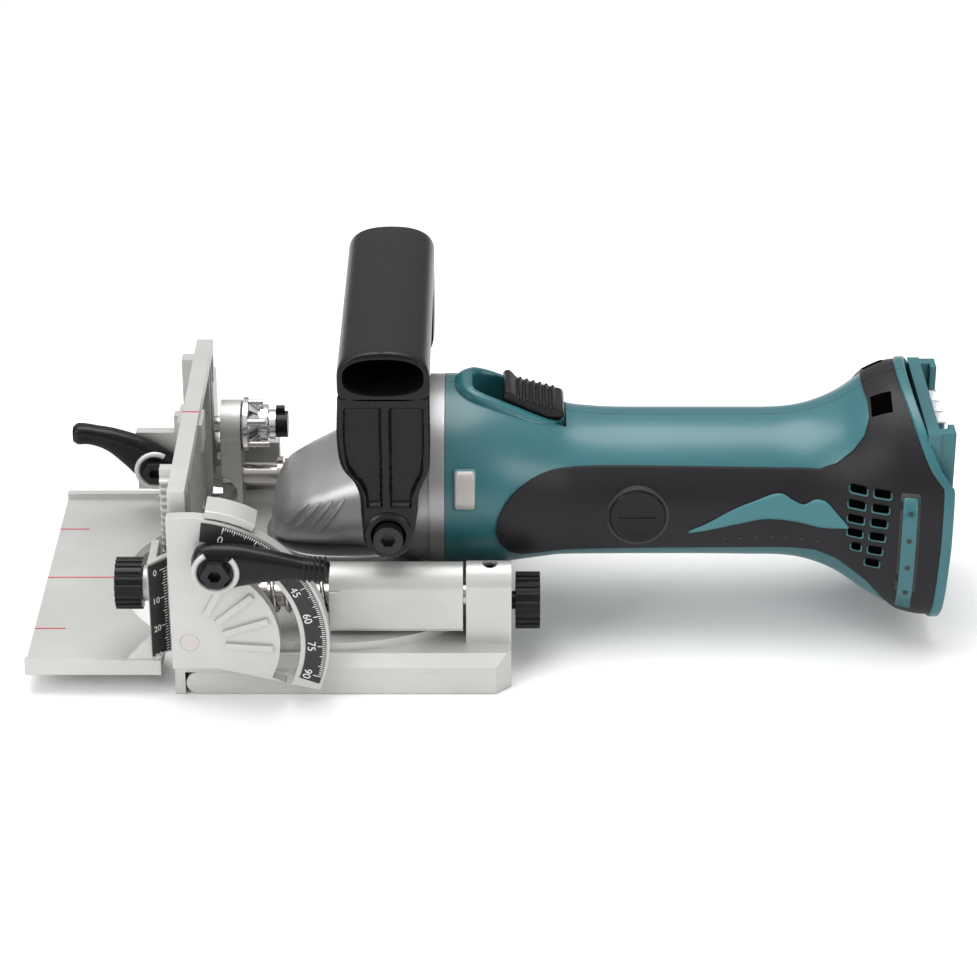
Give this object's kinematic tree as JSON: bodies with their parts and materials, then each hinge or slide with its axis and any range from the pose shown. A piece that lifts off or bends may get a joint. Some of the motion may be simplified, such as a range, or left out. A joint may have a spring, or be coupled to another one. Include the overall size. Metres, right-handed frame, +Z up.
{
  "type": "biscuit joiner",
  "caption": "Battery biscuit joiner with a plunging motor unit, tilting fence, rack-raised angle guide, depth stop turret and loop handle.",
  "frame": {"origin": "underside of the blade cover, on the middle plane, 5.5 mm behind the face that meets the work", "axes": "+X towards the battery end, -X towards the work, +Z up"},
  "size_m": [0.2987, 0.1638, 0.117],
  "materials": {
    "cast_silver": "satin",
    "gear_silver": "satin",
    "steel": "satin",
    "chrome": "polished",
    "teal_plastic": "fine texture",
    "black_plastic": "fine texture",
    "grip_rubber": "soft matt",
    "scale_black": "matt, white marks",
    "lens": "frosted",
    "copper": "bright",
    "carbon": "dull",
    "magnet": "dull",
    "screw_black": "black oxide"
  },
  "bodies": {
    "base": {"base_frame": "cast_silver", "guide_rods": "steel", "plunge_springs": "steel", "rod_set_screws": "screw_black", "cover_hinge_pins": "steel", "dust_nozzle": "cast_silver", "fence_pivot_pins": "steel"},
    "cover": {"blade_cover": "cast_silver"},
    "cover_clamp": {"cover_clamp_screw": "black_plastic"},
    "turret": {"depth_stop_turret": "chrome", "turret_stop_screws": "steel", "turret_pointer": "black_plastic"},
    "tilting_fence": {"fence": "cast_silver", "tilt_scale": "scale_black"},
    "tilt_lever": {"tilt_lock_lever": "black_plastic", "tilt_lock_bolt": "screw_black"},
    "guide": {"angle_guide": "cast_silver", "height_scale": "scale_black"},
    "guide_pinion": {"pinion_shaft": "steel", "pinion_knob": "black_plastic"},
    "guide_lever": {"height_lock_lever": "black_plastic", "height_lock_bolt": "screw_black"},
    "motor_unit": {"slide_carriage": "cast_silver", "depth_adjust_screw": "steel", "bearing_box": "gear_silver", "gear_housing": "gear_silver", "housing_flange": "gear_silver", "shaft_lock_spring": "steel", "spindle_bearings": "steel", "motor_bearings": "steel", "motor_yoke": "steel", "field_magnets": "magnet", "brush_holders": "black_plastic", "carbon_brushes": "carbon", "brush_caps": "black_plastic", "motor_housing_left": "teal_plastic", "motor_housing_right": "teal_plastic", "grip_overmould_left": "grip_rubber", "grip_overmould_right": "grip_rubber", "lamp_lens": "lens", "switch_body": "black_plastic", "motor_controller": "black_plastic", "housing_screws": "steel", "battery_mount": "teal_plastic", "battery_contacts": "copper", "handle": "black_plastic", "handle_bolts": "screw_black"},
    "shaft_lock": {"shaft_lock_button": "black_plastic"},
    "spindle_unit": {"spindle": "steel", "bevel_gear": "steel", "inner_flange": "steel", "cutter": "steel", "cutter_lock_nut": "steel"},
    "armature": {"armature_shaft": "steel", "bevel_pinion": "steel", "cooling_fan": "black_plastic", "armature_core": "steel", "commutator": "copper"},
    "switch": {"switch_knob": "black_plastic", "switch_rod": "black_plastic"}
  },
  "joints": [
    {"name": "plunge", "type": "slide", "parent": "base", "child": "motor_unit", "axis": [-1, 0, 0], "range_m": [0, 0.0225], "stiffness_N_per_m": 300, "springref_m": -0.01, "deforming": ["plunge_springs"]},
    {"name": "fence_tilt", "type": "hinge", "parent": "base", "child": "tilting_fence", "pos_m": [0.0003, 0, 0.022], "axis": [0, -1, 0], "range_deg": [0, 90]},
    {"name": "guide_height", "type": "slide", "parent": "tilting_fence", "child": "guide", "axis": [0, 0, 1], "range_m": [0, 0.03]},
    {"name": "pinion_turn", "type": "hinge", "parent": "guide", "child": "guide_pinion", "pos_m": [-0.015, -0.048, 0.0342], "axis": [1, 0, 0], "range_deg": [-360, 0]},
    {"name": "tilt_lock", "type": "hinge", "parent": "base", "child": "tilt_lever", "pos_m": [0.0103, -0.07, 0.0524], "axis": [0, -1, 0], "range_deg": [0, 60]},
    {"name": "height_lock", "type": "hinge", "parent": "guide", "child": "guide_lever", "pos_m": [-0.0205, 0.047, 0.029], "axis": [0, 1, 0], "range_deg": [0, 50]},
    {"name": "cover_open", "type": "hinge", "parent": "base", "child": "cover", "pos_m": [0.002, 0, 0.004], "axis": [0, 1, 0], "range_deg": [0, 45]},
    {"name": "cover_clamp_turn", "type": "hinge", "parent": "base", "child": "cover_clamp", "pos_m": [0.1, -0.033, 0.0196], "axis": [1, 0, 0], "continuous": true},
    {"name": "depth_stop_turn", "type": "hinge", "parent": "base", "child": "turret", "pos_m": [0.01, 0.045, 0.0458], "axis": [1, 0, 0], "continuous": true},
    {"name": "spindle_spin", "type": "hinge", "parent": "motor_unit", "child": "spindle_unit", "pos_m": [0.047, 0, 0.01], "axis": [0, 0, 1], "continuous": true},
    {"name": "armature_spin", "type": "hinge", "parent": "motor_unit", "child": "armature", "pos_m": [0.1, 0, 0.047], "axis": [1, 0, 0], "continuous": true},
    {"name": "switch_slide", "type": "slide", "parent": "motor_unit", "child": "switch", "axis": [-1, 0, 0], "range_m": [0, 0.008]},
    {"name": "shaft_lock_press", "type": "slide", "parent": "motor_unit", "child": "shaft_lock", "axis": [0, 0, -1], "range_m": [0, 0.0035], "stiffness_N_per_m": 400, "springref_m": -0.003, "deforming": ["shaft_lock_spring"]}
  ],
  "couplings": [
    {"joint": "guide_height", "follows": "fence_tilt", "m_per_rad": 0.019099},
    {"joint": "pinion_turn", "follows": "fence_tilt", "ratio": -3.9789},
    {"joint": "armature_spin", "follows": "spindle_spin", "ratio": 3.7}
  ]
}
